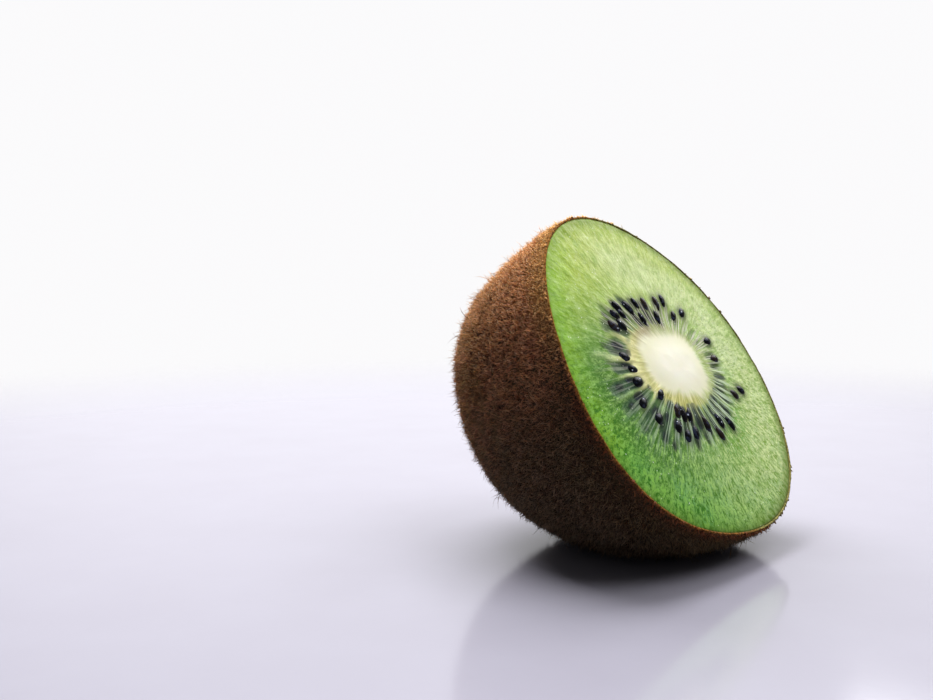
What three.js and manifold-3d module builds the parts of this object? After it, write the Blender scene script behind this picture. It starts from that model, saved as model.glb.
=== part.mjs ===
// A kiwi fruit cut across its middle, leaning over and resting on a flattened spot of its side.
// The fruit is modelled in its own frame first: the cut face lies in the plane z = 0 and the stem end hangs
// below it. It is then turned by LEAN about the x axis and settled on the floor, z = 0, under its own weight.
// Millimetres and degrees throughout.
import * as THREE from "three";
import { mergeVertices } from "three/addons/utils/BufferGeometryUtils.js";
import Module from "manifold-3d";

const wasm = await Module();
wasm.setup();

// Driving dimensions.
const RIM_RADIUS = 26;
const DEPTH = 32.5;
const LEAN = 59;

// The skin's profile from the rim to the stem end is a superellipse, a little blunter than an ellipse.
const DEPTH_POWER = 2.35;
const RADIUS_POWER = 2.2;

// The rim is round but for a few lobes: how many, their height as a share of the radius, and where one points.
const RIM_LOBES = [
  { count: 2, height: 0.03, at: -35 },
  { count: 3, height: 0.028, at: -21 },
  { count: 4, height: 0.0145, at: 32 },
];

// The cut isn't quite square to the fruit's length, so the stem end lies off the face's middle.
const STEM_END_OFFSET = new THREE.Vector2(0.8, 5.9);

// The stem's scar: a round hollow with a woody button in it.
const SCAR = { radius: 3.4, depth: 0.9, buttonRadius: 1.6, buttonHeight: 0.7 };

// The pale core is oval, off the middle of the face, and stands a little proud.
const CORE = {
  middle: new THREE.Vector2(1.2, 1.1),
  halfLength: 8.4,
  halfWidth: 5.4,
  turn: -5,
  proud: 0.2,
};

// Thin walls fan out from the core between the seed chambers, and the wet flesh sinks a little between them.
// The reach is a share of the way from the core to the rim.
const CHAMBERS = { count: 34, sink: 0.22, reach: 0.46 };
const FACE_DOME = 0.3;
const RIM_ROUNDING = 0.5;

// Seeds lie in bunches about the core, their points towards it. A bunch runs from one direction to another, and
// its seeds lie by turns near the core's edge and far from it.
const SEED = { length: 2.6, width: 1.7, thickness: 1.1, proud: 0.28 };
const SEED_BUNCHES = [
  { from: 148, to: 129, count: 5, near: 4.8, far: 6.5 },
  { from: 119, to: 107, count: 3, near: 2.4, far: 5.0 },
  { from: 94, to: 74, count: 3, near: 2.5, far: 4.5 },
  { from: 64, to: 41, count: 3, near: 4.2, far: 5.5 },
  { from: 14, to: 0, count: 2, near: 3.0, far: 4.8 },
  { from: -20, to: -28, count: 2, near: 5.7, far: 8.2 },
  { from: -58, to: -90, count: 4, near: 4.6, far: 6.2 },
  { from: -112, to: -134, count: 6, near: 3.0, far: 6.2 },
  { from: -147, to: -161, count: 3, near: 2.6, far: 6.6 },
  { from: -172, to: -190, count: 3, near: 3.8, far: 4.8 },
];

// Where the middle of the face lies once the fruit leans, with the middle of its resting spot at the origin. The
// floor then cuts 0.6 into the round of the fruit, and the skin about the spot sags to meet it.
const FACE_MIDDLE = new THREE.Vector3(-1.06, -12.32, 25.9);
const SAG = { drop: 1.4, reach: 9 };

// How finely the surface is divided: each chamber takes three of the steps around.
const AROUND = 3 * CHAMBERS.count;
const CORE_STEPS = [0, 0.4, 0.75];
const FLESH_STEPS = [0, 0.06, 0.13, 0.21, 0.29, 0.37, 0.46, 0.6, 0.76, 0.9, 0.965];
const SIDE_STEPS = 21;
const SCAR_STEPS = [0.965, 0.978, 0.989];
const SEED_AROUND = 7;
const SEED_RINGS = 4;

const radians = THREE.MathUtils.degToRad;
const smooth = THREE.MathUtils.smoothstep;

// A repeatable draw between 0 and 1 for the number n and the purpose k.
function draw(n, k) {
  const x = Math.sin(n * 12.9898 + k * 78.233) * 43758.5453;
  return x - Math.floor(x);
}

// The rim's radius about the middle of the face, in the direction phi.
function rimRadius(phi) {
  let share = 1;
  for (const lobe of RIM_LOBES) {
    share += lobe.height * Math.cos(lobe.count * (phi - radians(lobe.at)));
  }
  return RIM_RADIUS * share;
}

// The core's edge, measured from its own middle.
function coreRadius(theta) {
  const t = theta - radians(CORE.turn);
  return 1 / Math.hypot(Math.cos(t) / CORE.halfLength, Math.sin(t) / CORE.halfWidth);
}

// The rim, measured from the core's middle: a few steps find where a ray from there meets it.
function rimFromCore(theta) {
  let reach = RIM_RADIUS;
  for (let step = 0; step < 8; step++) {
    const { x, y } = fromCore(theta, reach);
    reach += rimRadius(Math.atan2(y, x)) - Math.hypot(x, y);
  }
  return reach;
}

// The point of the face at a distance from the core's middle, in the direction theta.
function fromCore(theta, reach) {
  return {
    x: CORE.middle.x + reach * Math.cos(theta),
    y: CORE.middle.y + reach * Math.sin(theta),
  };
}

// The height of the cut face above its plane, in the direction theta from the core's middle.
function faceHeight(theta, reach) {
  const core = coreRadius(theta);
  const rim = rimFromCore(theta);
  const share = (reach - core) / (rim - core);
  const dome = FACE_DOME * (1 - Math.pow(reach / rim, 2));
  const swell = CORE.proud * (1 - smooth(share, -0.24, 0.06));
  const band = smooth(share, 0.02, 0.12) * (1 - smooth(share, 0.7 * CHAMBERS.reach, CHAMBERS.reach));
  const hollow = 0.5 - 0.5 * Math.cos(CHAMBERS.count * theta);
  return dome + swell - CHAMBERS.sink * band * hollow;
}

// How far down the skin lies, and how wide it is there as a share of the rim: from the rim, 0, to the stem end, 1.
function sideProfile(share) {
  const down = Math.sin(share * Math.PI * 0.5);
  return { down, width: Math.pow(1 - Math.pow(down, DEPTH_POWER), 1 / RADIUS_POWER) };
}

// How far the scar sinks into the skin, at a distance from its middle.
function scarDepth(distance) {
  const hollow = SCAR.depth * (1 - smooth(distance, 0.45 * SCAR.radius, SCAR.radius));
  const button = SCAR.buttonHeight * (1 - smooth(distance, 0.7 * SCAR.buttonRadius, SCAR.buttonRadius));
  return hollow - button;
}

// The fruit's rings, from the middle of the face over the rim to the stem end. Each gives a point for the
// direction theta from the core's middle.
function rings() {
  const list = [];
  for (const step of CORE_STEPS) {
    list.push((theta) => facePoint(theta, step * coreRadius(theta)));
  }
  for (const step of FLESH_STEPS) {
    list.push((theta) => facePoint(theta, THREE.MathUtils.lerp(coreRadius(theta), rimFromCore(theta), step)));
  }
  list.push((theta) => sidePoint(theta, 0, 0.3 * RIM_ROUNDING));
  for (let step = 1; step < SIDE_STEPS; step++) {
    list.push((theta) => sidePoint(theta, step / SIDE_STEPS, 0));
  }
  for (const step of SCAR_STEPS) {
    list.push((theta) => sidePoint(theta, step, 0));
  }
  list.push((theta) => sidePoint(theta, 1, 0));
  return list;
}

function facePoint(theta, reach) {
  const { x, y } = fromCore(theta, reach);
  return new THREE.Vector3(x, y, faceHeight(theta, reach));
}

// A point of the skin, drawn in and down a little where the rim is rounded.
function sidePoint(theta, share, drawnIn) {
  const { x, y } = fromCore(theta, rimFromCore(theta));
  const { down, width } = sideProfile(share);
  const scale = width - drawnIn / RIM_RADIUS;
  return new THREE.Vector3(
    x * scale + STEM_END_OFFSET.x * down * down,
    y * scale + STEM_END_OFFSET.y * down * down,
    -DEPTH * down + scarDepth(scale * RIM_RADIUS) * smooth(down, 0.9, 0.95) - drawnIn,
  );
}

// The flesh and skin in the fruit's own frame: a turned shape whose rings are then moved into place.
function fruitGeometry() {
  const list = rings().reverse();
  const last = list.length - 1;
  const profile = list.map((_, i) => new THREE.Vector2(Math.sin((Math.PI * i) / last), i));
  const geometry = new THREE.LatheGeometry(profile, AROUND);
  return moveVertices(geometry, (v, i) => {
    const theta = (2 * Math.PI * (Math.floor(i / list.length) % AROUND)) / AROUND;
    return v.copy(list[i % list.length](theta));
  });
}

function moveVertices(geometry, move) {
  const position = geometry.attributes.position;
  const v = new THREE.Vector3();
  for (let i = 0; i < position.count; i++) {
    move(v.fromBufferAttribute(position, i), i);
    position.setXYZ(i, v.x, v.y, v.z);
  }
  return geometry;
}

// A closed solid from a three.js geometry.
function solidOf(geometry) {
  const plain = geometry.clone();
  plain.deleteAttribute("normal");
  plain.deleteAttribute("uv");
  const merged = mergeVertices(plain, 1e-4);
  return new wasm.Manifold(
    new wasm.Mesh({
      numProp: 3,
      vertProperties: merged.attributes.position.array,
      triVerts: new Uint32Array(merged.index.array),
    }),
  );
}

function geometryOf(solid) {
  const { vertProperties, triVerts } = solid.getMesh();
  const geometry = new THREE.BufferGeometry();
  geometry.setAttribute("position", new THREE.BufferAttribute(vertProperties, 3));
  geometry.setIndex(new THREE.BufferAttribute(triVerts, 1));
  return geometry;
}

// Every seed's place on the face, its direction and its size.
function seedPlaces() {
  const places = [];
  for (const bunch of SEED_BUNCHES) {
    for (let i = 0; i < bunch.count; i++) {
      const n = places.length + 1;
      const along = i / (bunch.count - 1);
      const theta = radians(THREE.MathUtils.lerp(bunch.from, bunch.to, along) + 3 * (draw(n, 1) - 0.5));
      const out = (i % 2 ? bunch.near : bunch.far) + 1.2 * (draw(n, 2) - 0.5);
      const reach = coreRadius(theta) + out;
      places.push({
        middle: facePoint(theta, reach),
        turn: theta + radians(30 * (draw(n, 3) - 0.5)),
        size: 0.85 + 0.3 * draw(n, 4),
      });
    }
  }
  return places;
}

// A seed: a flattened drop, blunt outwards and pointed towards the core, most of it sunk in the flesh.
function seedGeometry({ middle, turn, size }) {
  const geometry = new THREE.SphereGeometry(0.5, SEED_AROUND, SEED_RINGS).rotateZ(-Math.PI / 2);
  moveVertices(geometry, (v) => {
    const taper = 0.8 + 0.4 * v.x;
    return v.set(v.x * SEED.length, v.y * SEED.width * taper, v.z * SEED.thickness * taper);
  });
  const sunk = 0.4 * SEED.thickness * size - SEED.proud;
  return geometry.scale(size, size, size).rotateZ(turn).translate(middle.x, middle.y, middle.z - sunk);
}

// The skin near the resting spot sags, by less the higher it is.
function settle(v) {
  const away = (v.x * v.x + v.y * v.y) / (SAG.reach * SAG.reach);
  v.z -= SAG.drop * Math.exp(-away) * (1 - smooth(v.z, 2, 9));
}

// Everything above the floor: a block taller and wider than the fruit.
function aboveFloor() {
  const size = 4 * RIM_RADIUS;
  return solidOf(new THREE.BoxGeometry(size, size, size).translate(0, 0, size / 2));
}

const seeds = seedPlaces().map((place) => solidOf(seedGeometry(place)));
const fruit = seeds.reduce((whole, seed) => whole.add(seed), solidOf(fruitGeometry()));
const leaning = geometryOf(fruit).rotateX(radians(LEAN)).translate(...FACE_MIDDLE);
const settled = moveVertices(leaning, settle);
const resting = solidOf(settled).intersect(aboveFloor());

const kiwiHalf = new THREE.Mesh(
  geometryOf(resting),
  new THREE.MeshStandardMaterial({ color: 0x6f9a3c, roughness: 0.6, metalness: 0 }),
);
kiwiHalf.name = "kiwi_half";

const group = new THREE.Group();
group.add(kiwiHalf);

export default group;
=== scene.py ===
"""Half a kiwi fruit on a pale table: skin with its fuzz, wet green flesh, pale core and black seeds."""
import math

import bmesh
import bpy
import numpy as np
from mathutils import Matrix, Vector


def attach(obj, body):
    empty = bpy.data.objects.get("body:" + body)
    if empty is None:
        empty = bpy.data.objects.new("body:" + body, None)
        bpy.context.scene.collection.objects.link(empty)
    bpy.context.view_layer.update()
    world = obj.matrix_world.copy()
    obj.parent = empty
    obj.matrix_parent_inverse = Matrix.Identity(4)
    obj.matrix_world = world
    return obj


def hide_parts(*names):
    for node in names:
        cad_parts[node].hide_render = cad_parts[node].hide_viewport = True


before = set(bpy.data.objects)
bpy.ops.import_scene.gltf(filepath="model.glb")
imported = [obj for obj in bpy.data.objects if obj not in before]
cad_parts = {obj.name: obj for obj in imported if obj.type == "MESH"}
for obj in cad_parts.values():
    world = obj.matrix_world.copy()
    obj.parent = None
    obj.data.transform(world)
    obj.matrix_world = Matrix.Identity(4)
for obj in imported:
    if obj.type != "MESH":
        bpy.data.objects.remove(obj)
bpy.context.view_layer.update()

# Sizes are in millimetres, as in the solid. The fruit's own frame has the cut face in the plane z = 0 and
# the stem end below it. It is then turned by LEAN about X, and its face's middle put at FACE_MIDDLE.
MM = 0.001
RIM_RADIUS = 26.0
DEPTH = 32.5
LEAN = math.radians(59)
FACE_MIDDLE = np.array([-1.06, -12.32, 25.9])
DEPTH_POWER = 2.35
RADIUS_POWER = 2.2
# The rim's lobes: how many in a turn, their height as a share of its radius, and where, in degrees
RIM_LOBES = [(2, 0.03, -35), (3, 0.028, -21), (4, 0.0145, 32)]
STEM_END_OFFSET = np.array([0.8, 5.9])
SCAR_RADIUS, SCAR_DEPTH, BUTTON_RADIUS, BUTTON_HEIGHT = 3.4, 0.9, 1.6, 0.7
CORE_MIDDLE = np.array([1.2, 1.1])
CORE_LENGTH, CORE_WIDTH, CORE_TURN, CORE_PROUD = 8.4, 5.4, math.radians(-5), 0.2
CHAMBERS, CHAMBER_SINK = 34, 0.22
CORE_SQUARENESS = 2.8
FACE_DOME = 0.3
SAG_DROP, SAG_REACH, SAG_TOP = 1.4, 9.0, (2, 9)
SEED_LENGTH, SEED_WIDTH, SEED_THICKNESS, SEED_PROUD = 2.6, 1.7, 1.1, 0.28
SEED_BUNCHES = [
    # from and to, in degrees about the core; how many; and how far out from its edge, near and far
    (148, 129, 5, 4.8, 6.5),
    (119, 107, 3, 2.4, 5.0),
    (94, 74, 3, 2.5, 4.5),
    (64, 41, 3, 4.2, 5.5),
    (14, 0, 2, 3.0, 4.8),
    (-20, -28, 2, 5.7, 8.2),
    (-58, -90, 4, 4.6, 6.2),
    (-112, -134, 6, 3.0, 6.2),
    (-147, -161, 3, 2.6, 6.6),
    (-172, -190, 3, 3.8, 4.8),
]
SUNKEN_ROWS = 3
# The marks that seeds leave on the flesh: length, width and how sharp their outline is
SUNKEN_SPOT, PIT_SPOT, SHADOW_SPOT = (2.9, 1.5, 3.0), (3.1, 2.2, 4), (3.6, 2.7, 2.2)
SKIN_THICKNESS = 0.32
FLESH_INSET = 0.93 * SKIN_THICKNESS
# The skin's lumps, each kind with its height and its size
SKIN_LUMPS = [(0.16, 6.5), (0.07, 2.1), (0.05, 0.8)]
# Which way the fuzz is combed on the table, how deep its roots are and how far they stray from their places
TOWARDS_STEM, ROOT_DEPTH, SCATTER = (0.0, 0.86, -0.5), 0.06, 0.16

# How finely the meshes are divided: steps round the fruit, and rings on each stretch of its outline
SKIN_STEPS, OUTER_RINGS, INNER_RINGS = 480, 92, 16
FLESH_STEPS, SIDE_RINGS, FLESH_RINGS, CORE_RINGS = 760, 10, 84, 26


# Numbers ------------------------------------------------------------------------------------------


def smooth(x, low, high):
    t = np.clip((x - low) / (high - low), 0, 1)
    return t * t * (3 - 2 * t)


def lerp(a, b, t):
    return a + (b - a) * t


def draw(n, k):
    """A repeatable draw between 0 and 1 for the number n and the purpose k, the same as the solid's."""
    x = np.sin(n * 12.9898 + k * 78.233) * 43758.5453
    return x - np.floor(x)


def grain(points, size, seed=0):
    """Smooth random relief between -1 and 1, whose lumps are about size across."""
    p = np.asarray(points, float) / size
    cell = np.floor(p)
    f = p - cell
    f = f * f * (3 - 2 * f)
    total = np.zeros(len(p))
    for dx in (0, 1):
        for dy in (0, 1):
            for dz in (0, 1):
                c = cell + (dx, dy, dz)
                h = np.sin(c[:, 0] * 127.1 + c[:, 1] * 311.7 + c[:, 2] * 74.7 + seed * 19.19) * 43758.5453
                weight = (
                    (f[:, 0] if dx else 1 - f[:, 0])
                    * (f[:, 1] if dy else 1 - f[:, 1])
                    * (f[:, 2] if dz else 1 - f[:, 2])
                )
                total += weight * (h - np.floor(h))
    return 2 * total - 1


def around(theta, size, seed=0):
    """Random relief along a circle, without a seam: about size lumps in a turn of 2 pi."""
    k = size / (2 * math.pi)
    return grain(np.stack([k * np.cos(theta), k * np.sin(theta), 0 * theta + seed * 7.3], 1), 1.0, seed)


# The fruit's shape --------------------------------------------------------------------------------


def rim_radius(phi):
    return RIM_RADIUS * (1 + sum(h * np.cos(n * (phi - math.radians(at))) for n, h, at in RIM_LOBES))


def core_radius(theta):
    t = theta - CORE_TURN
    return 1 / np.hypot(np.cos(t) / CORE_LENGTH, np.sin(t) / CORE_WIDTH)


def from_core(theta, reach):
    return CORE_MIDDLE[0] + reach * np.cos(theta), CORE_MIDDLE[1] + reach * np.sin(theta)


def rim_from_core(theta):
    """The rim's distance from the core's middle."""
    reach = RIM_RADIUS + 0 * theta
    for _ in range(8):
        x, y = from_core(theta, reach)
        reach = reach + rim_radius(np.arctan2(y, x)) - np.hypot(x, y)
    return reach


def plain_face_height(theta, reach):
    """The cut face's height, leaving out its chambers."""
    core, rim = core_radius(theta), rim_from_core(theta)
    share = (reach - core) / (rim - core)
    return FACE_DOME * (1 - (reach / rim) ** 2) + CORE_PROUD * (1 - smooth(share, -0.24, 0.06))


def scar_depth(distance):
    hollow = SCAR_DEPTH * (1 - smooth(distance, 0.45 * SCAR_RADIUS, SCAR_RADIUS))
    return hollow - BUTTON_HEIGHT * (1 - smooth(distance, 0.7 * BUTTON_RADIUS, BUTTON_RADIUS))


def side_points(theta, share, inset=0.0):
    """Points of the skin, or inset from it: share runs from the rim, 0, to the stem end, 1."""
    x, y = from_core(theta, rim_from_core(theta))
    down = np.sin(share * math.pi / 2)
    width = np.clip(1 - down**DEPTH_POWER, 0, 1) ** (1 / RADIUS_POWER)
    scale = width * (1 - inset / RIM_RADIUS)
    scar = scar_depth(width * RIM_RADIUS) * smooth(down, 0.9, 0.95)
    return np.stack(
        [
            x * scale + STEM_END_OFFSET[0] * down**2,
            y * scale + STEM_END_OFFSET[1] * down**2,
            -(DEPTH - inset) * down + scar,
        ],
        1,
    )


def to_table(points):
    """Leans the fruit over, puts it on the table and lets the skin there settle."""
    x, y, z = np.asarray(points, float).T
    c, s = math.cos(LEAN), math.sin(LEAN)
    x, y, z = np.array([x, y * c - z * s, y * s + z * c]) + FACE_MIDDLE[:, None]
    away = (x * x + y * y) / SAG_REACH**2
    z = z - SAG_DROP * np.exp(-away) * (1 - smooth(z, *SAG_TOP))
    return np.stack([x, y, z], 1)


# Seeds and chambers -------------------------------------------------------------------------------


def toward(theta, middle, width):
    """1 in one direction about the core, falling to 0 on both sides; in degrees."""
    away = np.angle(np.exp(1j * (theta - math.radians(middle))))
    return np.exp(-((away / math.radians(width)) ** 2))


def rises(theta, *rows):
    """The sum of such rises, each given by its height, its direction and its width."""
    return sum(height * toward(theta, middle, width) for height, middle, width in rows)


def seed_places():
    """Each shown seed's direction from the core, reach, turn and size, the same as the solid's."""
    places = []
    for start, end, count, near, far in SEED_BUNCHES:
        for i in range(count):
            n = len(places) + 1
            theta = math.radians(lerp(start, end, i / (count - 1)) + 3 * (draw(n, 1) - 0.5))
            out = (near if i % 2 else far) + 1.2 * (draw(n, 2) - 0.5)
            reach = core_radius(theta) + out
            turn = theta + math.radians(30 * (draw(n, 3) - 0.5))
            places.append((theta, reach, turn, 0.85 + 0.3 * draw(n, 4)))
    return places


def sunken_places():
    """Seeds that show only as shadows through the flesh: a few to each chamber, with their darkness."""
    places = []
    for chamber in range(CHAMBERS):
        for row in range(SUNKEN_ROWS):
            n = SUNKEN_ROWS * chamber + row + 1
            theta = 2 * math.pi * (chamber + 0.5 + 0.4 * (draw(n, 11) - 0.5)) / CHAMBERS
            reach = core_radius(theta) + 1.5 + 0.36 * (zone_width(theta) - 1.2) * row + 1.3 * draw(n, 12)
            dark = (0.3 + 0.7 * draw(n, 13) ** 0.7) * seed_zone(theta) * (1 - 0.2 * row)
            places.append((theta, reach, theta + 0.3 * (draw(n, 14) - 0.5), 0.9 + 0.4 * draw(n, 15), dark))
    return places


def seed_zone(theta):
    """How dark the ring of chambers is in each direction."""
    rows = (0.85, 112, 40), (0.6, 178, 30), (1.0, 232, 44), (1.0, 308, 34), (0.22, 25, 45)
    return np.minimum(0.25 + rises(theta, *rows), 1)


def zone_width(theta):
    """How far that ring reaches out from the core, in millimetres."""
    rows = (6.6, 188, 40), (3.0, 132, 24), (2.4, 262, 40), (3.0, 220, 22), (1.7, 306, 26)
    return 4.3 + rises(theta, *rows)


def spot(u, v, place, length, width, power):
    """1 at a seed's middle, falling to 0 past its outline."""
    theta, reach, turn, size = place[:4]
    x, y = from_core(theta, reach)
    along = ((u - x) * math.cos(turn) + (v - y) * math.sin(turn)) / (0.5 * length * size)
    across = ((v - y) * math.cos(turn) - (u - x) * math.sin(turn)) / (0.5 * width * size)
    return np.exp(-((along**2 + across**2) ** (power / 2)))


def face_pattern(theta, reach):
    """What shows at each point of the cut face, as shares from 0 to 1, and the flesh's height there."""
    core, rim = core_radius(theta), rim_from_core(theta)
    share = (reach - core) / (rim - core)
    out = reach - core
    u, v = from_core(theta, reach)
    flat = np.stack([u, v, 0 * u], 1)
    ragged = 0.6 * around(theta, 90, 12) + 0.5 * around(theta, 40, 13)
    bent = theta + 0.035 * grain(flat, 3.5, 15)
    width = zone_width(theta)
    left = toward(theta, 175, 42)

    # The chambers, a little uneven and round at their ends, and the pale walls between them
    place = CHAMBERS * bent / (2 * math.pi) + 0.22 * np.sin(3 * theta + 0.7) + 0.16 * np.sin(7 * theta + 2)
    chamber = np.floor(place) % CHAMBERS
    wall = np.round(place) % CHAMBERS
    across = place - np.floor(place)
    pitch = 2 * math.pi * np.maximum(reach, 1) / CHAMBERS
    from_wall = np.minimum(across, 1 - across) * pitch
    wall_width = 0.12 + 0.08 * pitch
    strong = 0.25 + rises(theta, (0.75, 160, 34), (0.5, 340, 30), (-0.2, 220, 25))
    walls = np.exp(-((from_wall / wall_width) ** 2)) * lerp(0.3, 1.0, draw(wall, 21)) * strong
    wall_end = width * lerp(0.8, 1.4, draw(wall, 22))
    walls *= smooth(out, -1.0, 0.4) * (1 - smooth(out, 0.5 * wall_end, wall_end))

    end = width * lerp(0.8, 1.12, draw(chamber, 23)) + 0.6
    tip = np.maximum(out - end + 2.6, 0) / 2.6
    middle = np.abs(across - 0.5) / 0.47
    hollow = smooth(1 - np.hypot(tip, middle), 0.0, 0.5) * smooth(out, 0.3 + 1.2 * left, 2.4 + 2.2 * left)
    chambers = hollow * lerp(0.35, 1.0, draw(chamber, 24)) * seed_zone(theta)

    # Where fine pale threads run out across the ring
    threads = smooth(out, -0.6, 0.8) * (1 - smooth(out, 0.6 * width, 1.25 * width + 1.0))
    threads *= 0.7 + rises(theta, (-0.5, 180, 45), (0.3, 315, 34))

    # The dark ring that the chambers' seeds make together, the green beyond it, and the seeds deeper down
    ring = width + ragged
    start = 2.6 * left + 2.4 * toward(theta, 246, 30)
    zone = smooth(out, start, 2.2 + 1.8 * start) * (1 - smooth(out, 0.55 * ring, 1.1 * ring))
    zone *= seed_zone(theta) * lerp(hollow, 1, 0.75 - 0.55 * left)
    beyond = smooth(out, 0.4 * ring, 0.9 * ring) * (1 - smooth(out, ring, ring + 6.5))
    beyond *= np.minimum(rises(theta, (1.3, 206, 42), (1.2, 302, 34)), 1)
    sunken = np.zeros(len(theta))
    for seed in sunken_places():
        sunken = np.maximum(sunken, seed[4] * spot(u, v, seed, *SUNKEN_SPOT))
    pits = np.zeros(len(theta))
    shadow = np.zeros(len(theta))
    for seed in seed_places():
        pits = np.maximum(pits, spot(u, v, seed, *PIT_SPOT))
        shadow = np.maximum(shadow, spot(u, v, seed, *SHADOW_SPOT))

    # The core, feathered at its edge, and the yellow band beside it
    turned = theta - CORE_TURN
    sides = np.abs(np.cos(turned) / CORE_LENGTH), np.abs(np.sin(turned) / CORE_WIDTH)
    square = (sides[0] ** CORE_SQUARENESS + sides[1] ** CORE_SQUARENESS) ** (-1 / CORE_SQUARENESS)
    edge = square + rises(theta, (0.5, 165, 40), (-0.9, 0, 30), (-0.4, 225, 30))
    edge += 0.4 * around(theta, 30, 3) + 0.3 * around(theta, 80, 4) + 0.25 * around(theta, 190, 16)
    pale = 1 - smooth(reach, edge - 1.3, edge + 0.7)
    band = 1.6 + rises(theta, (4.0, 170, 34), (1.5, 245, 26)) + 0.7 * ragged
    band *= 1.4 - 0.9 * hollow
    yellow = smooth(out, -1.6, -0.2) * (1 - smooth(out, 0.35 * band, 1.2 * band))
    yellow *= np.minimum(0.35 + rises(theta, (1, 235, 50), (1, 160, 45)), 1)

    # The relief of all that, in which the chambers are softer and shallower than the solid's
    fibres = around(theta, 230, 5) * smooth(share, 0.1, 0.3)
    lumps = (grain(flat, 1.7, 6) + 0.6 * grain(flat, 0.7, 17)) * (1 - 0.8 * pale)
    height = plain_face_height(theta, reach) - 0.35 * CHAMBER_SINK * hollow + 0.05 * walls + 0.1 * pits
    height += 0.02 * fibres + 0.035 * lumps - 0.1 * smooth(share, 0.96, 1.0)
    return {
        "core": pale,
        "heart": 1 - smooth(reach / core, 0.3, 1.0),
        "yellow": yellow,
        "wall": walls,
        "thread": threads,
        "chamber": chambers,
        "zone": zone,
        "beyond": beyond,
        "sunken": sunken * smooth(out, 0.2 + 1.8 * left, 1.4 + 2.2 * left),
        "shadow": shadow,
        "share": share,
    }, height


# Meshes -------------------------------------------------------------------------------------------


def spindle(rings, steps):
    """A closed round shape rolled up from a flat grid, with each ring at the height of its number."""
    mesh = bmesh.new()
    last = rings - 1
    bmesh.ops.create_grid(mesh, x_segments=steps, y_segments=last, size=0.5)
    for vert in mesh.verts:
        turn, ring = 2 * math.pi * vert.co.x, round((vert.co.y + 0.5) * last)
        radius = last * math.sin(math.pi * ring / last)
        vert.co = (radius * math.cos(turn), radius * math.sin(turn), ring)
    bmesh.ops.remove_doubles(mesh, verts=mesh.verts, dist=1e-4)
    bmesh.ops.recalc_face_normals(mesh, faces=mesh.faces)
    return mesh


def points_of(mesh):
    co = np.empty(3 * len(mesh.vertices))
    mesh.vertices.foreach_get("co", co)
    return co.reshape(-1, 3)


def finish_piece(mesh, name, finish, points=None, marks=None):
    """Puts a mesh, its points in millimetres in the row's frame, into the scene as a smooth piece."""
    if points is not None:
        mesh.vertices.foreach_set("co", (points * MM).ravel())
    for key, values in (marks or {}).items():
        mesh.attributes.new(key, "FLOAT", "POINT").data.foreach_set("value", values.astype(np.float32))
    mesh.shade_smooth()
    mesh.materials.append(finish)
    mesh.update()
    piece = bpy.data.objects.new(name, mesh)
    bpy.context.scene.collection.objects.link(piece)
    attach(piece, "root")
    return piece


def mesh_from(bm, name):
    mesh = bpy.data.meshes.new(name)
    bm.to_mesh(mesh)
    bm.free()
    return mesh


def on_floor(points, lift=0.0):
    """The skin can't go below the table."""
    points[:, 2] = np.maximum(points[:, 2], lift)
    return points


def make_skin(finish):
    """A thin closed shell, from the stem end over the rim and back inside."""
    # Each ring's share of the way down the side, its depth under the skin and its lift at the cut
    outer = [(1 - i / OUTER_RINGS, 0.0, 0.0) for i in range(OUTER_RINGS)]
    edge = [(0.0, 0.03, 0.02), (0.0, 0.1, 0.06), (0.0, 0.2, 0.06), (0.0, 0.28, 0.03)]
    inner = [(i / INNER_RINGS, SKIN_THICKNESS, -0.06) for i in range(INNER_RINGS + 1)]
    rings = np.array(outer + edge + inner)
    mesh = mesh_from(spindle(len(rings), SKIN_STEPS), "skin")
    co = points_of(mesh)
    share, inset, lift = rings[np.rint(co[:, 2]).astype(int)].T
    theta = np.arctan2(co[:, 1], co[:, 0])
    points = side_points(theta, share, inset)
    outward = unit(points - np.array([0, 0, -10]))
    lumps = sum(height * grain(points, size, n) for n, (height, size) in enumerate(SKIN_LUMPS, 1))
    points += outward * (lumps * (inset < 0.2) * smooth(share, 0.0, 0.05))[:, None]
    frayed = 0.06 * around(theta, 150, 8) + 0.05 * around(theta, 40, 9)
    points[:, 2] += lift + frayed * (lift > 0)
    marks = {"share": share, "outer": (inset < 0.02).astype(float), "cut": (share == 0).astype(float)}
    return finish_piece(mesh, "skin", finish, on_floor(to_table(points)), marks)


def make_flesh(finish):
    """The flesh and core as one closed body, finest where the seeds lie."""
    # Each ring's step: 3 at the stem end, 2 at the rim, 1 at the core's edge and 0 at its middle
    side = [3 - i / SIDE_RINGS for i in range(SIDE_RINGS)]
    flesh = [2 - i / FLESH_RINGS for i in range(FLESH_RINGS + 1)]
    core = [1 - i / CORE_RINGS for i in range(1, CORE_RINGS + 1)]
    rings = np.array(side + flesh + core)
    mesh = mesh_from(spindle(len(rings), FLESH_STEPS), "flesh")
    co = points_of(mesh)
    step = rings[np.rint(co[:, 2]).astype(int)]
    theta = np.arctan2(co[:, 1], co[:, 0])
    rim = rim_from_core(theta) - FLESH_INSET
    edge = core_radius(theta)
    reach = np.where(step <= 1, step * edge, lerp(edge, rim, np.clip(step - 1, 0, 1)))
    marks, height = face_pattern(theta, reach)
    face = np.stack([*from_core(theta, reach), height], 1)
    below = side_points(theta, np.clip(step - 2, 0, 1), FLESH_INSET)
    points = np.where((step > 2)[:, None], below, face)
    return finish_piece(mesh, "flesh", finish, on_floor(to_table(points), 0.3), marks)


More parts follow.
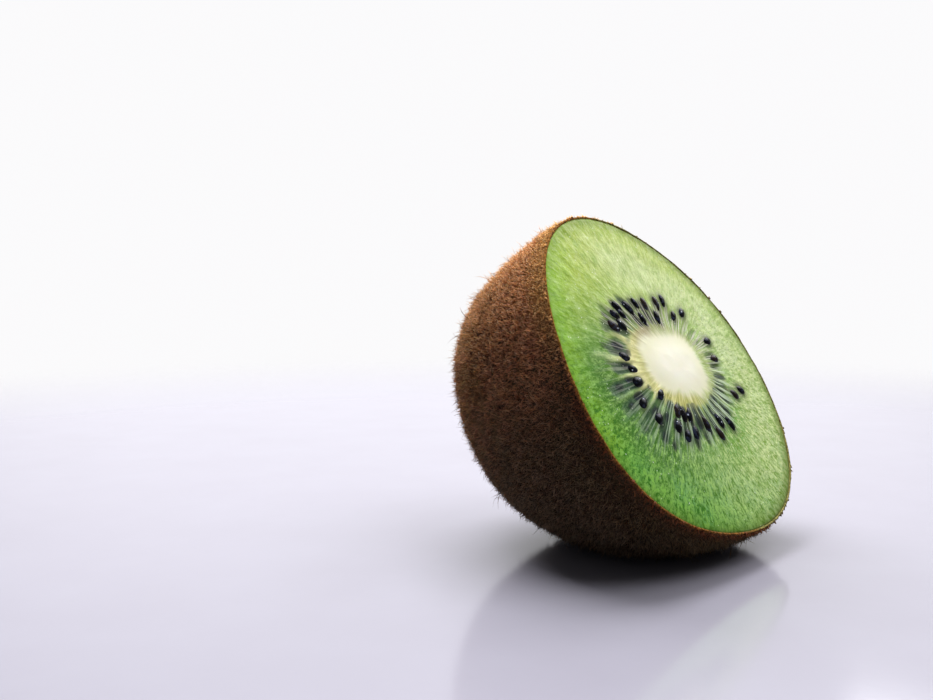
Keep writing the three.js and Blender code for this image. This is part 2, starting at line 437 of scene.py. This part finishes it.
def make_seeds(finish):
    """The shown seeds: flattened drops, blunt outwards and pointed at the core, most of each sunk in."""
    whole = bmesh.new()
    tones = []
    for n, (theta, reach, turn, size) in enumerate(seed_places(), 1):
        seed = bmesh.new()
        bmesh.ops.create_uvsphere(seed, u_segments=18, v_segments=12, radius=0.5)
        x, y = from_core(theta, reach)
        z = plain_face_height(theta, reach) + SEED_PROUD - 0.4 * SEED_THICKNESS * size
        c, s = math.cos(turn), math.sin(turn)
        for vert in seed.verts:
            along, across, up = vert.co.z, vert.co.x, vert.co.y
            taper = 0.9 + 0.3 * along
            along, across, up = along * SEED_LENGTH, across * SEED_WIDTH * taper, up * SEED_THICKNESS * taper
            along, across, up = along * size, across * size, up * size
            vert.co = (x + along * c - across * s, y + along * s + across * c, z + up)
        mesh = mesh_from(seed, "seed")
        whole.from_mesh(mesh)
        tones += [draw(n, 31)] * len(mesh.vertices)
        bpy.data.meshes.remove(mesh)
    bmesh.ops.recalc_face_normals(whole, faces=whole.faces)
    mesh = mesh_from(whole, "seeds")
    return finish_piece(mesh, "seeds", finish, to_table(points_of(mesh)), {"tone": np.array(tones)})


# Fuzz ---------------------------------------------------------------------------------------------


def unit(v):
    return v / np.maximum(np.linalg.norm(v, axis=1), 1e-9)[:, None]


def array_of(items, key, kind=float, size=1):
    values = np.empty(size * len(items), kind)
    items.foreach_get(key, values)
    return values.reshape(-1, size) if size > 1 else values


def skin_spots(skin, count, rng, reaching):
    """Random places on the outside of the skin: points in millimetres, outward directions and shares."""
    mesh = skin.data
    first = array_of(mesh.polygons, "loop_start", np.int32)
    corner = array_of(mesh.loops, "vertex_index", np.int32)[first]
    outer = array_of(mesh.attributes["outer"].data, "value", np.float32)[corner]
    share = array_of(mesh.attributes["share"].data, "value", np.float32)[corner]
    middle = array_of(mesh.polygons, "center", size=3) / MM
    normal = array_of(mesh.polygons, "normal", size=3)
    # Bare at the very edge of the cut, and in a wider band on the right, where only the stubs grow
    bare = 0.004 + 0.03 * smooth(middle[:, 0], 2, 12) * (reaching == 1)
    grown = (outer > 0.5) * (share > bare) * (share <= reaching) * (middle[:, 2] > 0.02)
    weight = array_of(mesh.polygons, "area") * grown
    picks = rng.choice(len(first), count, p=weight / weight.sum())
    scatter = rng.normal(0, SCATTER, (count, 3))
    scatter -= normal[picks] * np.einsum("ij,ij->i", scatter, normal[picks])[:, None]
    return middle[picks] + scatter, normal[picks], share[picks]


def make_hairs(name, finish, skin, seed, count, length, width, lean, curl=0.4, knees=(0.55,), reaching=1.0):
    """Tapered three-sided hairs in one mesh. Length and lean are (least, most); knees are the shares of the
    length at which a hair bends; reaching is how far from the rim they grow, as a share of the side."""
    rng = np.random.default_rng(seed)
    root, up, share = skin_spots(skin, count, rng, reaching)
    comb = unit(np.cross(np.cross(up, [TOWARDS_STEM]), up))
    side = np.cross(up, comb)
    turn = rng.uniform(-math.pi, math.pi, count)[:, None]
    flow = unit(comb * (0.5 + np.cos(turn)) + side * np.sin(turn))
    angle = np.radians(rng.uniform(*lean, count))[:, None]
    size = rng.uniform(*length, count)[:, None] * lerp(0.45, 1, smooth(share, 0.0, 0.09))[:, None]
    thick = width * rng.uniform(0.7, 1.3, (count, 1))
    heading = unit(up * np.cos(angle) + flow * np.sin(angle))
    across = unit(np.cross(heading, up + 0.01))
    other = np.cross(heading, across)
    corners = [across * math.cos(a) + other * math.sin(a) for a in (0, 2 * math.pi / 3, 4 * math.pi / 3)]
    bend = (side * rng.normal(0, 1, (count, 1)) + flow * rng.uniform(0, 1, (count, 1))) * curl

    verts, place, done = [], root - ROOT_DEPTH * up, 0.0
    for knee in (0.0, *knees):
        place = place + heading * size * (knee - done)
        verts += [place + corner * thick * 0.5 * (1 - 0.5 * knee) for corner in corners]
        heading = unit(heading + bend) if knee else heading
        done = knee
    verts.append(place + heading * size * (1 - done))
    verts = np.stack(verts, 1)
    verts[..., 2] = np.maximum(verts[..., 2], 0.01)
    each = verts.shape[1]

    pattern = [(2, 1, 0)]
    for a, b in ((0, 1), (1, 2), (2, 0)):
        for low in range(0, each - 4, 3):
            pattern += [(low + a, low + b, low + b + 3), (low + a, low + b + 3, low + a + 3)]
        pattern.append((each - 4 + a, each - 4 + b, each - 1))
    faces = (np.array(pattern)[None] + each * np.arange(count)[:, None, None]).reshape(-1, 3)
    mesh = bpy.data.meshes.new(name)
    mesh.vertices.add(each * count)
    mesh.loops.add(faces.size)
    mesh.polygons.add(len(faces))
    mesh.loops.foreach_set("vertex_index", faces.ravel().astype(np.int32))
    mesh.polygons.foreach_set("loop_start", np.arange(0, faces.size, 3, dtype=np.int32))
    mesh.vertices.foreach_set("co", verts.ravel() * MM)
    mesh.update(calc_edges=True)
    tone = np.clip(0.45 + 0.4 * grain(root, 0.8, seed) + rng.normal(0, 0.26, count), 0, 1)
    along = np.repeat([0.0, *knees, 1.0], [3] * (1 + len(knees)) + [1])
    marks = {"tone": np.repeat(tone, each), "along": np.tile(along, count)}
    return finish_piece(mesh, name, finish, marks=marks)


# Finishes -----------------------------------------------------------------------------------------


def srgb(*levels):
    """A colour given as red, green and blue from 0 to 255 for the screen, as the shader takes it."""
    return [((c / 255 + 0.055) / 1.055) ** 2.4 if c > 10 else c / 255 / 12.92 for c in levels] + [1.0]


class Value:
    """A socket that carries a number: arithmetic on it adds Math nodes."""

    def __init__(self, finish, socket):
        self.finish, self.socket = finish, socket

    def math(self, operation, first, second):
        return self.finish.node("ShaderNodeMath", {"operation": operation}, {0: first, 1: second})

    def __add__(self, other):
        return self.math("ADD", self, other)

    def __sub__(self, other):
        return self.math("SUBTRACT", self, other)

    def __rsub__(self, other):
        return self.math("SUBTRACT", other, self)

    def __mul__(self, other):
        return self.math("MULTIPLY", self, other)

    __radd__, __rmul__ = __add__, __mul__

    def between(self, low, high, start=0.0, end=1.0):
        """start at low, end at high, smooth in between."""
        settings = {"interpolation_type": "SMOOTHSTEP"}
        inputs = {"Value": self, "From Min": low, "From Max": high, "To Min": start, "To Max": end}
        return self.finish.node("ShaderNodeMapRange", settings, inputs)


class Finish:
    """The nodes of a material, or of the world, in the making."""

    def __init__(self, owner):
        self.owner = owner
        owner.use_nodes = True
        self.tree = owner.node_tree
        self.tree.nodes.clear()

    def node(self, kind, settings=None, inputs=None, output=0):
        """Adds a node: its settings first, then its sockets' values or links. Returns one output."""
        node = self.tree.nodes.new(kind)
        for key, value in (settings or {}).items():
            setattr(node, key, value)
        for key, value in (inputs or {}).items():
            socket = self.socket(node.inputs, key)
            if isinstance(value, Value):
                self.tree.links.new(value.socket, socket)
            else:
                socket.default_value = value
        return Value(self, self.socket(node.outputs, output)) if len(node.outputs) else self.owner

    @staticmethod
    def socket(sockets, key):
        if isinstance(key, int):
            return sockets[key]
        return next(s for s in sockets if s.identifier == key or (s.name == key and s.enabled))

    def mix(self, factor, first, second):
        inputs = {"Factor_Float": factor, "A_Color": first, "B_Color": second}
        return self.node("ShaderNodeMix", {"data_type": "RGBA"}, inputs, "Result_Color")

    def vector(self, operation, first, second=None, output="Vector"):
        inputs = {0: first} if second is None else {0: first, 1: second}
        return self.node("ShaderNodeVectorMath", {"operation": operation}, inputs, output)

    def mark(self, name):
        """A number stored on the mesh."""
        return self.node("ShaderNodeAttribute", {"attribute_name": name}, None, "Fac")

    def object_place(self):
        return self.node("ShaderNodeTexCoord", None, None, "Object")

    def position(self):
        """The place on the fruit, in its own frame and in millimetres."""
        inputs = {
            "Vector": self.object_place(),
            "Location": [c * MM for c in FACE_MIDDLE],
            "Rotation": (LEAN, 0, 0),
            "Scale": (MM, MM, MM),
        }
        return self.node("ShaderNodeMapping", {"vector_type": "TEXTURE"}, inputs)

    def axes(self, vector):
        """The vector's three numbers."""
        return [self.node("ShaderNodeSeparateXYZ", None, {0: vector}, axis) for axis in "XYZ"]

    def noise(self, vector, scale, detail=2.0, roughness=0.5):
        inputs = {"Vector": vector, "Scale": scale, "Detail": detail, "Roughness": roughness}
        return self.node("ShaderNodeTexNoise", None, inputs, "Fac")

    def cells(self, vector, scale):
        return self.node("ShaderNodeTexVoronoi", None, {"Vector": vector, "Scale": scale}, "Distance")

    def rays(self, place, turns, along):
        """Coordinates for streaks that fan out from the core: that many in a turn, each 1 / along long."""
        arm = self.vector("SUBTRACT", self.vector("MULTIPLY", place, (1, 1, 0)), (*CORE_MIDDLE, 0))
        reach = self.vector("LENGTH", arm, output="Value")
        k = turns / (2 * math.pi)
        ring = self.vector("MULTIPLY", self.vector("NORMALIZE", arm), (k, k, k))
        return self.vector("ADD", ring, self.node("ShaderNodeCombineXYZ", None, {"Z": reach * along}))

    def bump(self, height, strength, distance, normal=None):
        inputs = {"Height": height, "Strength": strength, "Distance": distance * MM}
        if normal is not None:
            inputs["Normal"] = normal
        return self.node("ShaderNodeBump", None, inputs, "Normal")

    def principled(self, inputs):
        shader = self.node("ShaderNodeBsdfPrincipled", None, inputs, "BSDF")
        return self.node("ShaderNodeOutputMaterial", None, {"Surface": shader})


def material(name):
    return Finish(bpy.data.materials.new(name))


def flesh_finish():
    f = material("wet_flesh")
    place = f.position()
    sideways, height, _ = f.axes(place)
    share, core, heart = f.mark("share"), f.mark("core"), f.mark("heart")
    yellow, wall = f.mark("yellow"), f.mark("wall")
    chamber, zone, sunken, shadow = f.mark("chamber"), f.mark("zone"), f.mark("sunken"), f.mark("shadow")
    thread, beyond = f.mark("thread"), f.mark("beyond")

    weave = f.noise(f.rays(place, 330, 1.1), 1.0, 3.0, 0.65)
    coarse = f.noise(f.rays(place, 190, 0.7), 1.0, 2.0, 0.6)
    fine = f.noise(f.rays(place, 420, 0.8), 1.0, 2.0, 0.6)
    fibres = f.noise(f.rays(place, 150, 0.32), 1.0, 2.0, 0.6)
    broad = f.noise(f.rays(place, 50, 0.16), 1.0, 2.0)
    hairline = f.noise(f.rays(place, 250, 0.12), 1.0, 1.0)
    grains = f.noise(place, 3.4, 3.0, 0.7)
    patches = f.noise(place, 0.16, 2.0)
    blots = f.noise(place, 0.5, 2.0, 0.6)

    # Deep green low on the left, lighter up to the right (partly painted light), cooler at the bottom,
    # yellower at the top
    tint_and_painted_light = (sideways * 0.8 + height * 0.6).between(-26, 8)
    green = f.mix(tint_and_painted_light, srgb(60, 134, 14), srgb(136, 182, 70))
    # Paler to the right: a painted sheen
    green = f.mix((sideways * 0.85 - height * 0.2).between(-8, 22) * 0.8, green, srgb(192, 210, 160))
    green = f.mix(height.between(2, 22) * 0.78, green, srgb(186, 196, 74))
    green = f.mix(height.between(-5, -18) * 0.35, green, srgb(132, 176, 124))
    inner = share.between(0.26, 0.42) * share.between(0.95, 0.6)
    green = f.mix(inner * (sideways * 1.4 + height).between(-2, 20) * 0.6, green, srgb(216, 226, 184))
    green = f.mix(inner * height.between(-4, -15) * 0.5, green, srgb(178, 206, 150))
    near_rim = share.between(0.6, 0.98)
    green = f.mix(near_rim * (sideways + height).between(0, 20) * 0.4, green, srgb(148, 172, 78))
    left_rim = near_rim * sideways.between(-8, -20) * height.between(-14, -4)
    green = f.mix(left_rim * 0.75, green, srgb(138, 190, 42))
    green = f.mix(sideways.between(0, -8) * height.between(-7, -15) * 0.35, green, srgb(92, 158, 88))
    green = f.mix(patches.between(0.4, 0.68) * 0.3, green, srgb(150, 172, 52))
    pale = f.mix(tint_and_painted_light, srgb(126, 180, 74), srgb(216, 228, 166))
    deep = f.mix(tint_and_painted_light, srgb(42, 104, 18), srgb(124, 160, 62))
    green = f.mix(blots.between(0.52, 0.72) * 0.4, green, pale)
    green = f.mix(blots.between(0.48, 0.3) * 0.45, green, deep)
    deep_green = f.mix(sideways.between(-8, 6), srgb(38, 86, 30), srgb(62, 146, 20))
    green = f.mix(beyond * fibres.between(0.3, 0.6, 0.7, 1.0), green, deep_green)
    # Fibres and grains, coarser and bolder towards the bottom
    bold = height.between(16, -16, 0.6, 2.5)
    silky = height.between(-14, 14, 0.2, 0.3)
    green = f.mix(broad.between(0.5, 0.72) * 0.3, green, deep)
    green = f.mix(fibres.between(0.5, 0.68) * silky, green, pale)
    green = f.mix(fibres.between(0.48, 0.32) * silky, green, deep)
    green = f.mix(fine.between(0.5, 0.7) * 0.35, green, pale)
    green = f.mix(coarse.between(0.5, 0.7) * bold * 0.3, green, pale)
    green = f.mix(coarse.between(0.48, 0.32) * bold * 0.35, green, deep)
    green = f.mix(weave.between(0.5, 0.68) * bold * 0.5, green, pale)
    green = f.mix(weave.between(0.48, 0.34) * bold * 0.5, green, deep)
    green = f.mix(grains.between(0.52, 0.75) * bold * 0.34, green, pale)
    green = f.mix(grains.between(0.48, 0.3) * bold * 0.36, green, deep)
    green = f.mix(share.between(0.86, 1.0) * sideways.between(-22, -4, 0.25, 0.6), green, srgb(84, 112, 26))
    green = f.mix(share.between(0.84, 0.97) * sideways.between(2, 18) * 0.4, green, srgb(98, 116, 44))
    green = f.mix(share.between(0.955, 1.0) * sideways.between(-4, 8) * 0.7, green, srgb(98, 92, 44))
    # The chambers, then their dark ring, grey at the top and green below, then the seeds under the flesh
    hollow = f.mix(grains.between(0.4, 0.6), srgb(34, 62, 40), srgb(84, 108, 84))
    green = f.mix(chamber * 0.85, green, hollow)
    ring = f.mix(height.between(-1, 7), srgb(42, 66, 50), srgb(78, 74, 74))
    thick = height.between(-2, 7, 0.85, 0.5)
    green = f.mix(zone * fibres.between(0.3, 0.55, 0.5, 0.95) * thick, green, ring)
    buried = (sunken + hairline * 0.3).between(0.36, 0.72)
    veiled = f.mix(fine.between(0.52, 0.7), srgb(18, 20, 30), srgb(66, 72, 90))
    green = f.mix(buried * 0.9, green, veiled)
    green = f.mix(shadow.between(0.0, 0.85) * 0.72, green, srgb(20, 23, 29))
    # Pale threads and walls across the ring
    strand = f.mix(height.between(-6, 6), srgb(190, 210, 178), srgb(220, 216, 198))
    green = f.mix(thread * hairline.between(0.5, 0.6), green, strand)
    green = f.mix(wall * weave.between(0.3, 0.6, 0.5, 0.95), green, srgb(196, 212, 156))
    # The yellow band, palest on the left, duller on the right and browner at the top, then the core
    straw = f.mix(fibres.between(0.4, 0.65), srgb(170, 166, 88), srgb(222, 216, 152))
    straw = f.mix(sideways.between(-5, -10) * 0.6, straw, srgb(240, 234, 176))
    straw = f.mix(sideways.between(5, 10) * 0.6, straw, srgb(140, 144, 118))
    straw = f.mix(height.between(2, 7) * sideways.between(-9, -3), straw, srgb(170, 154, 126))
    green = f.mix(yellow * (1 - buried * 0.7) * 0.9, green, straw)
    cream = f.mix(heart * patches.between(0.1, 0.5), srgb(233, 231, 200), srgb(246, 243, 225))
    colour = f.mix(core, green, cream)
    # Small wet glints: painted highlights, pale specks in the colour
    glints = f.cells(place, 1.7).between(0.2, 0.1) * blots.between(0.54, 0.62) * (1 - core)
    colour = f.mix(glints * 0.8, colour, srgb(236, 244, 226))

    flesh = 1 - core * 0.9
    relief = f.bump((weave + grains * 0.6) * flesh, 0.5, 0.07)
    relief = f.bump(f.cells(place, 2.6) * flesh, 0.3, 0.06, relief)
    return f.principled({
        "Base Color": colour,
        "Roughness": 0.32 + grains * 0.25 + core * 0.15 + zone * 0.12,
        "Normal": relief,
        "IOR": 1.38,
        "Specular IOR Level": 0.18,
        "Subsurface Weight": 0.2,
        "Subsurface Radius": (0.5, 0.7, 0.2),
        "Subsurface Scale": 0.6 * MM,
        "Coat Weight": 0.05,
        "Coat Roughness": 0.15,
        "Coat IOR": 1.34,
    })


def seed_finish():
    f = material("seed_coat")
    place = f.position()
    tone = f.mark("tone")
    pits = f.cells(place, 7.0)
    colour = f.mix(tone.between(0.75, 1.0), srgb(8, 9, 13), srgb(36, 27, 24))
    # Bluish patches, a painted reflection, and pale specks, painted glints
    colour = f.mix(f.noise(place, 1.6).between(0.5, 0.66) * 0.6, colour, srgb(46, 52, 74))
    colour = f.mix(f.cells(place, 1.1).between(0.16, 0.08), colour, srgb(190, 198, 214))
    return f.principled({
        "Base Color": colour,
        "Roughness": 0.12 + pits * 0.12,
        "Normal": f.bump(pits, 0.3, 0.04),
        "Specular IOR Level": 0.14,
    })


def skin_finish():
    f = material("brown_skin")
    place = f.position()
    cut = f.mark("cut")
    mottle = f.noise(place, 0.3, 3.0)
    specks = f.noise(place, 2.6, 3.0, 0.65)
    colour = f.mix(mottle.between(0.35, 0.65), srgb(62, 39, 31), srgb(60, 48, 32))
    colour = f.mix(specks.between(0.48, 0.66) * 0.7, colour, srgb(98, 68, 52))
    colour = f.mix(specks.between(0.5, 0.36) * 0.7, colour, srgb(28, 18, 15))
    sideways, height, _ = f.axes(place)
    # Lighter brown by the rim at the top: painted light from above
    painted_light_upper_rim = f.mark("share").between(0.2, 0.04) * height.between(4, 15)
    colour = f.mix(painted_light_upper_rim * 0.7, colour, srgb(150, 108, 64))
    # The cut edge, rusty on the left and olive on the right
    rust = f.mix(specks.between(0.4, 0.6), srgb(84, 54, 26), srgb(158, 108, 52))
    olive = f.mix(specks.between(0.42, 0.6), srgb(88, 84, 42), srgb(150, 142, 84))
    colour = f.mix(cut, colour, f.mix((sideways + mottle * 16).between(2, 12), rust, olive))
    pores = f.cells(place, 1.8)
    return f.principled({
        "Base Color": colour,
        "Roughness": 0.75 + specks * 0.2,
        "Normal": f.bump(specks + pores * 0.5, 0.7, 0.15),
        "Specular IOR Level": 0.15,
    })


def hair_finish(name, root, dark, light):
    """Hairs from dark to light brown, darkest at the root."""
    f = material(name)
    place = f.position()
    sideways, height, below = f.axes(place)
    tone, along = f.mark("tone"), f.mark("along")
    colour = f.mix(tone, dark, light)
    # Patches of olive, rust and dark brown
    colour = f.mix(f.noise(place, 0.32, 2.0).between(0.4, 0.62) * 0.45, colour, srgb(100, 86, 58))
    colour = f.mix(f.noise(place, 0.2, 2.0).between(0.48, 0.64) * 0.4, colour, srgb(112, 56, 42))
    colour = f.mix(f.noise(place, 0.13, 2.0, 0.6).between(0.54, 0.38) * 0.6, colour, srgb(54, 37, 29))
    # Lighter near the cut above the lowest part, a painted fill light, and golden on the fruit's upper side,
    # partly painted light
    colour = f.mix(below.between(-18, -5) * height.between(-12, 0) * 0.6, colour, srgb(198, 132, 98))
    colour = f.mix((height + tone * 8).between(12, 30) * 0.5, colour, srgb(228, 162, 104))
    # Drab towards the table: painted shade
    painted_shade_drab = f.mix(tone, srgb(44, 39, 33), srgb(164, 144, 122))
    colour = f.mix(height.between(8, -10) * 0.75, colour, painted_shade_drab)
    # Olive low by the rim
    olive = f.mix(tone, srgb(50, 40, 25), srgb(146, 124, 78))
    colour = f.mix(below.between(-11, -2) * height.between(2, -8) * 0.45, colour, olive)
    # Dull low on the far right: painted shade
    painted_shade_dull = f.mix(tone, srgb(48, 37, 29), srgb(140, 112, 84))
    colour = f.mix(sideways.between(-4, 10) * below.between(-4, -14) * 0.5, colour, painted_shade_dull)
    # Beside the cut, gold at the top as painted backlight, red lower down and green on the right
    painted_backlight_gold = f.mix(height.between(-6, 12), srgb(112, 76, 50), srgb(210, 158, 96))
    colour = f.mix(below.between(-4, -0.5) * height.between(4, 15, 0.4, 0.85), colour, painted_backlight_gold)
    colour = f.mix(below.between(-2.2, -0.3) * height.between(6, -3) * 0.6, colour, srgb(158, 76, 44))
    colour = f.mix(below.between(-1.2, -0.2) * sideways.between(0, 12) * 0.7, colour, srgb(132, 124, 70))
    colour = f.mix(along.between(0.7, 0.0) * 0.65, colour, root)
    return f.principled({
        "Base Color": colour,
        "Roughness": 0.6 + along * 0.1,
        "Specular IOR Level": 0.15,
        "Subsurface Weight": 0.25,
        "Subsurface Radius": (1.0, 0.5, 0.25),
        "Subsurface Scale": 0.25 * MM,
    })


# Table, light and camera --------------------------------------------------------------------------

BACKDROP = (0.965, 0.96, 0.97, 1.0)
# How far the table top reaches from the fruit, and between which distances it fades out, in metres
TABLE_REACH, TABLE_FADE = 0.4, (0.16, 0.32)
# The backdrop's light rises from weak to full between these cosines to the camera's line of sight
BACK_LIGHT = (0.68, 0.95)


def floor_finish():
    """A pale, slightly glossy table top that fades into the backdrop and throws little light upwards."""
    f = material("pale_table")
    place = f.object_place()
    mottle = f.noise(place, 60.0, 3.0)
    pale = f.mix(mottle, srgb(145, 142, 154), srgb(151, 149, 161))
    seen = f.node("ShaderNodeLightPath", None, None, "Is Camera Ray")
    inputs = {
        "Base Color": f.mix(seen, srgb(126, 125, 130), pale),
        "Roughness": 0.1 + mottle * 0.05,
        "Normal": f.bump(f.noise(place, 900.0, 2.0), 0.1, 0.05),
    }
    top = f.node("ShaderNodeBsdfPrincipled", None, inputs, "BSDF")
    clear = f.node("ShaderNodeBsdfTransparent", None, None, "BSDF")
    away = f.vector("LENGTH", place, output="Value").between(*TABLE_FADE)
    shader = f.node("ShaderNodeMixShader", None, {0: away, 1: top, 2: clear})
    return f.node("ShaderNodeOutputMaterial", None, {"Surface": shader})


def make_table(finish):
    bm = bmesh.new()
    bmesh.ops.create_grid(bm, x_segments=8, y_segments=8, size=TABLE_REACH)
    mesh = mesh_from(bm, "table")
    mesh.materials.append(finish)
    table = bpy.data.objects.new("table", mesh)
    bpy.context.scene.collection.objects.link(table)


def area_light(name, place, target, size, power, mirrored):
    light = bpy.data.lights.new(name, "AREA")
    light.shape, light.size, light.size_y = "RECTANGLE", *size
    light.energy = power
    lamp = bpy.data.objects.new(name, light)
    lamp.visible_glossy = mirrored
    lamp.location = place
    lamp.rotation_euler = (Vector(target) - Vector(place)).to_track_quat("-Z", "Y").to_euler()
    bpy.context.scene.collection.objects.link(lamp)


def make_room(front, back):
    """An evenly white backdrop all round, whose light falls mostly from behind the fruit."""
    world = bpy.data.worlds.new("room")
    bpy.context.scene.world = world
    f = Finish(world)
    direction = f.node("ShaderNodeTexCoord", None, None, "Generated")
    facing = f.vector("DOT_PRODUCT", direction, (*VIEW_HEADING, 0.0), "Value")
    light = facing.between(*BACK_LIGHT, front, back)
    seen = f.node("ShaderNodeLightPath", None, None, "Is Camera Ray")
    strength = light + seen * (1 - light)
    shader = f.node("ShaderNodeBackground", None, {"Color": BACKDROP, "Strength": strength})
    f.node("ShaderNodeOutputWorld", None, {"Surface": shader})


CAMERA_PLACE = Vector((-136.66, -85.10, 41.66)) * MM
VIEW_TURN = math.radians(-50.5)
VIEW_PITCH = math.radians(4.73)
VIEW_HEADING = (math.sin(-VIEW_TURN), math.cos(VIEW_TURN))
LENS = 40.5


def make_camera():
    camera = bpy.data.objects.new("camera", bpy.data.cameras.new("camera"))
    camera.data.lens = LENS
    camera.data.sensor_width = 36.0
    camera.data.clip_start = 0.01
    camera.location = CAMERA_PLACE
    camera.rotation_euler = (math.pi / 2 - VIEW_PITCH, 0, VIEW_TURN)
    bpy.context.scene.collection.objects.link(camera)
    bpy.context.scene.camera = camera


make_camera()
bpy.context.scene.view_settings.view_transform = "Standard"
make_room(front=0.12, back=0.97)
area_light("window", (0.10, -0.24, 0.50), (0, -0.01, 0.025), (0.4, 0.4), 2.2, mirrored=False)
area_light("side", (0.42, -0.015, 0.35), (0, -0.01, 0.025), (0.3, 0.3), 0.8, mirrored=True)
area_light("ceiling", (0.11, 0.22, 0.44), (0, 0, 0.02), (0.4, 0.4), 6.2, mirrored=False)
make_table(floor_finish())

skin = make_skin(skin_finish())
flesh = make_flesh(flesh_finish())
make_seeds(seed_finish())
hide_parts("kiwi_half")
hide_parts("kiwi_half")

down = hair_finish("down", srgb(36, 22, 18), srgb(78, 46, 36), srgb(190, 122, 94))
fuzz = hair_finish("fuzz", srgb(36, 22, 18), srgb(82, 48, 38), srgb(210, 140, 112))
tufts = hair_finish("tufts", srgb(30, 20, 16), srgb(42, 29, 22), srgb(112, 78, 56))
strays = hair_finish("strays", srgb(60, 42, 34), srgb(110, 84, 66), srgb(196, 160, 130))
for number in (1, 2):
    make_hairs(f"down_{number}", down, skin, 10 + number, 45000, (0.45, 0.85), 0.12, (15, 70), knees=())
    make_hairs(f"fuzz_{number}", fuzz, skin, 20 + number, 18000, (0.7, 1.4), 0.09, (5, 58), curl=0.6)
make_hairs("tufts", tufts, skin, 30, 3000, (1.2, 2.3), 0.09, (5, 55), curl=0.5)
make_hairs("strays", strays, skin, 32, 1500, (1.4, 2.6), 0.1, (50, 85), curl=0.7, knees=(0.35, 0.7))
make_hairs("long_hairs", tufts, skin, 31, 110, (2.2, 3.6), 0.11, (15, 65), curl=0.5, knees=(0.35, 0.7))
make_hairs("rim_stubs", tufts, skin, 40, 120, (0.9, 1.5), 0.55, (0, 45), knees=(), reaching=0.012)
